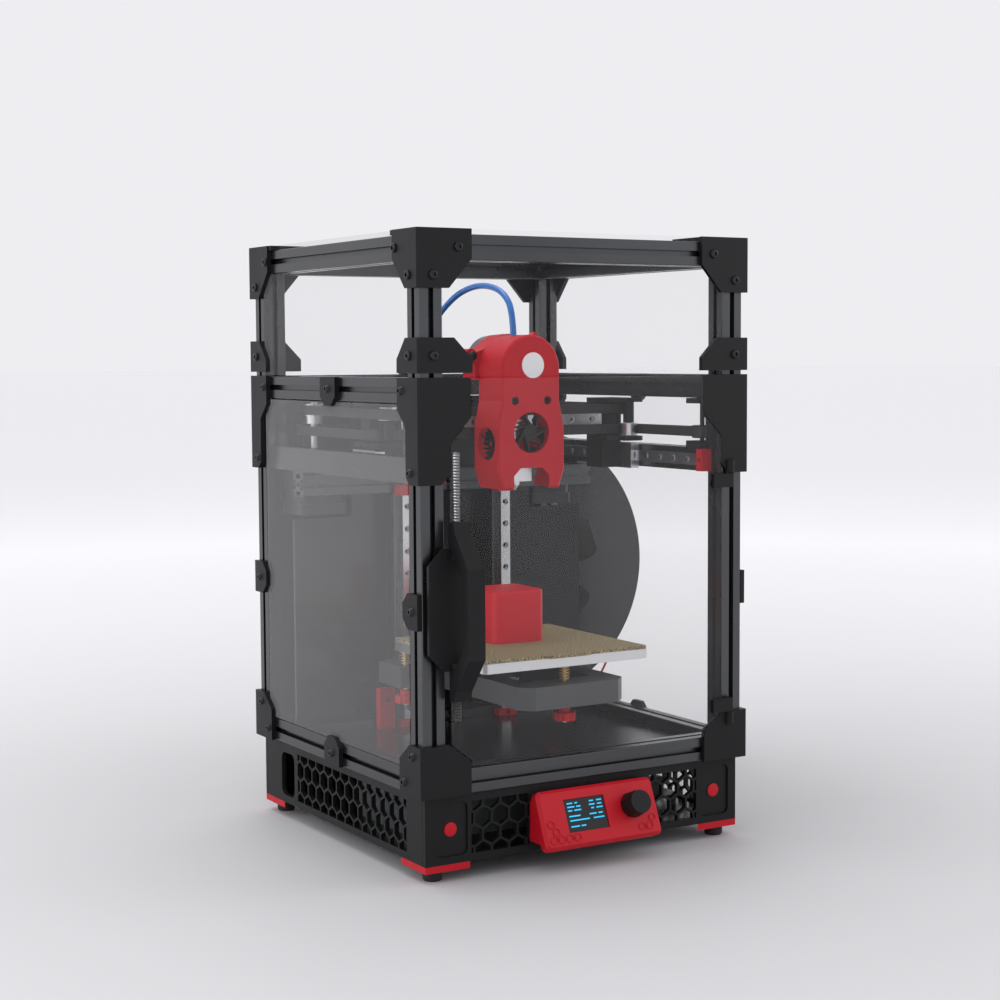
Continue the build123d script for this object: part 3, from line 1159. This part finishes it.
FLANGE_WEB = (34.0, 60.0)
with BuildPart() as spool:
    for y in (SPOOL_Y + SPOOL_T, SPOOL_Y + SPOOL_W):
        with BuildSketch(xz(y, POST, SPOOL_Z)):
            Circle(SPOOL_R)
            Circle(SPOOL_BORE_R, mode=Mode.SUBTRACT)
            with PolarLocations(sum(FLANGE_WEB) / 2, 6, start_angle=20):
                RectangleRounded(FLANGE_WEB[1] - FLANGE_WEB[0], 32, 6, mode=Mode.SUBTRACT)
        extrude(amount=SPOOL_T)
    for outer in (SPOOL_HUB_R, SPOOL_BORE_R + 3):
        with BuildSketch(xz(SPOOL_Y + SPOOL_W - 1, POST, SPOOL_Z)):
            Circle(outer)
            Circle(outer - 3, mode=Mode.SUBTRACT)
        extrude(amount=SPOOL_W - 2)
keep(spool, "spool")

with BuildPart() as filament_coil:
    with BuildSketch(xz(SPOOL_Y + SPOOL_W - SPOOL_T - PRINT_GAP, POST, SPOOL_Z)):
        Circle(COIL_R)
        Circle(SPOOL_HUB_R + RUN, mode=Mode.SUBTRACT)
    extrude(amount=SPOOL_W - 2 * SPOOL_T - 2 * PRINT_GAP)
keep(filament_coil, "filament_coil")

GUIDE_Y = INNER - 3.4
with BuildPart() as tube_guide:
    block(FIL_X - 7, FIL_X + 7, GUIDE_Y - 5, INNER - JOIN, HIGH_BEAM_Z - 7, HIGH_BEAM_Z + 8.5)
    rod(xy(HIGH_BEAM_Z - 8, FIL_X, GUIDE_Y), TUBE_R + 0.35, 20, mode=Mode.SUBTRACT)
keep(tube_guide, "tube_guide")


def bend_radii(points):
    """Bend radius at each corner of a cord's route, so straight runs are left between bends."""
    radii = []
    for a, b, c in zip(points, points[1:], points[2:]):
        one, two = Vector(*b) - Vector(*a), Vector(*c) - Vector(*b)
        turn = math.radians(one.get_angle(two))
        radii.append(0.45 * min(one.length, two.length) / math.tan(turn / 2))
    return radii


def cord(points, radius):
    """Round cord along straight runs joined by arcs."""
    radii = bend_radii(points)
    print("bend radii", [round(r, 1) for r in radii])
    with BuildLine() as route:
        FilletPolyline(*points, radius=radii)
    start = Plane(origin=route.line @ 0, z_dir=route.line % 0)
    with BuildSketch(start) as section:
        Circle(radius)
    sweep(section.sketch, path=route.line)
    return sum(edge.length for edge in route.line.edges())


def placed(points):
    return [(CX + x, CY + y, z) for x, y, z in points]


TUBE_TOP = EXTRUDER_Z + 6 + 0.4
TUBE_ROUTE = placed([(FIL_X, FIL_Y, TUBE_TOP), (FIL_X, FIL_Y, 334), (FIL_X, FIL_Y + 13, 348),
                     (FIL_X, FIL_Y + 38, 353), (FIL_X, 22, 350), (FIL_X, 45, 341),
                     (FIL_X, 72, 323), (FIL_X, GUIDE_Y, 302), (FIL_X, GUIDE_Y, 281)])
STRAND_ROUTE = placed([(FIL_X, GUIDE_Y, 278), (-6, 97, 225), (2, 103, 172), (16, 112, 125), (36, 119, 80),
                       (66, 134, 50), (102, 149, 33), (138, 157, 29), (172, 159, 38), (195, 159, 60),
                       (207, 159, 92), (206, 159, 122), (199, 159, 147)])

with BuildPart() as ptfe_tube:
    print("tube length", cord(TUBE_ROUTE, TUBE_R))
keep(ptfe_tube, "ptfe_tube")

with BuildPart() as filament_strand:
    print("strand length", cord(STRAND_ROUTE, STRAND_R))
keep(filament_strand, "filament_strand")
